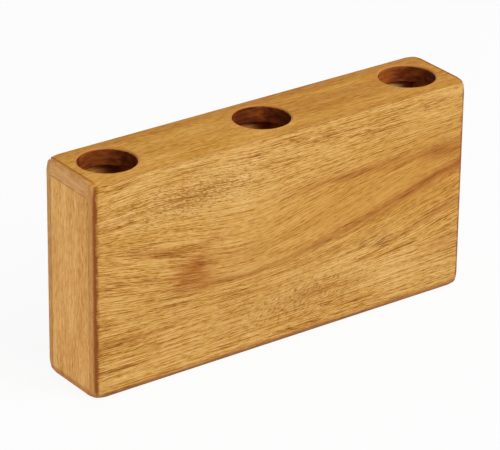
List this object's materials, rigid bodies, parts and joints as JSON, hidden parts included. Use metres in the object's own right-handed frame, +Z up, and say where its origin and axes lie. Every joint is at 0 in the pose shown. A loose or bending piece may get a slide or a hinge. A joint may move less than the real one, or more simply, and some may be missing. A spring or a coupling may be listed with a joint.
{
  "type": "didgeridoo box",
  "caption": "Slim upright wooden box with a row of round blowing holes along its top board and inner partitions that fold a long air column.",
  "frame": {"origin": "centre of the base, on the surface that the box stands on", "axes": "+X along the length, -Y out of the front panel, +Z up out of the top board"},
  "size_m": [0.325, 0.06, 0.165],
  "materials": {
    "panel_wood": "satin lacquer over figured hardwood",
    "top_wood": "satin lacquer, holes stained dark inside",
    "end_wood": "satin lacquer over straight upright grain",
    "inner_wood": "bare wood"
  },
  "bodies": {
    "root": {"front_panel": "panel_wood", "back_panel": "panel_wood", "top_board": "top_wood", "left_end": "end_wood", "right_end": "end_wood", "bottom_board": "inner_wood", "partition_1": "inner_wood", "partition_2": "inner_wood", "partition_3": "inner_wood", "partition_4": "inner_wood", "partition_5": "inner_wood", "partition_6": "inner_wood"}
  },
  "joints": []
}
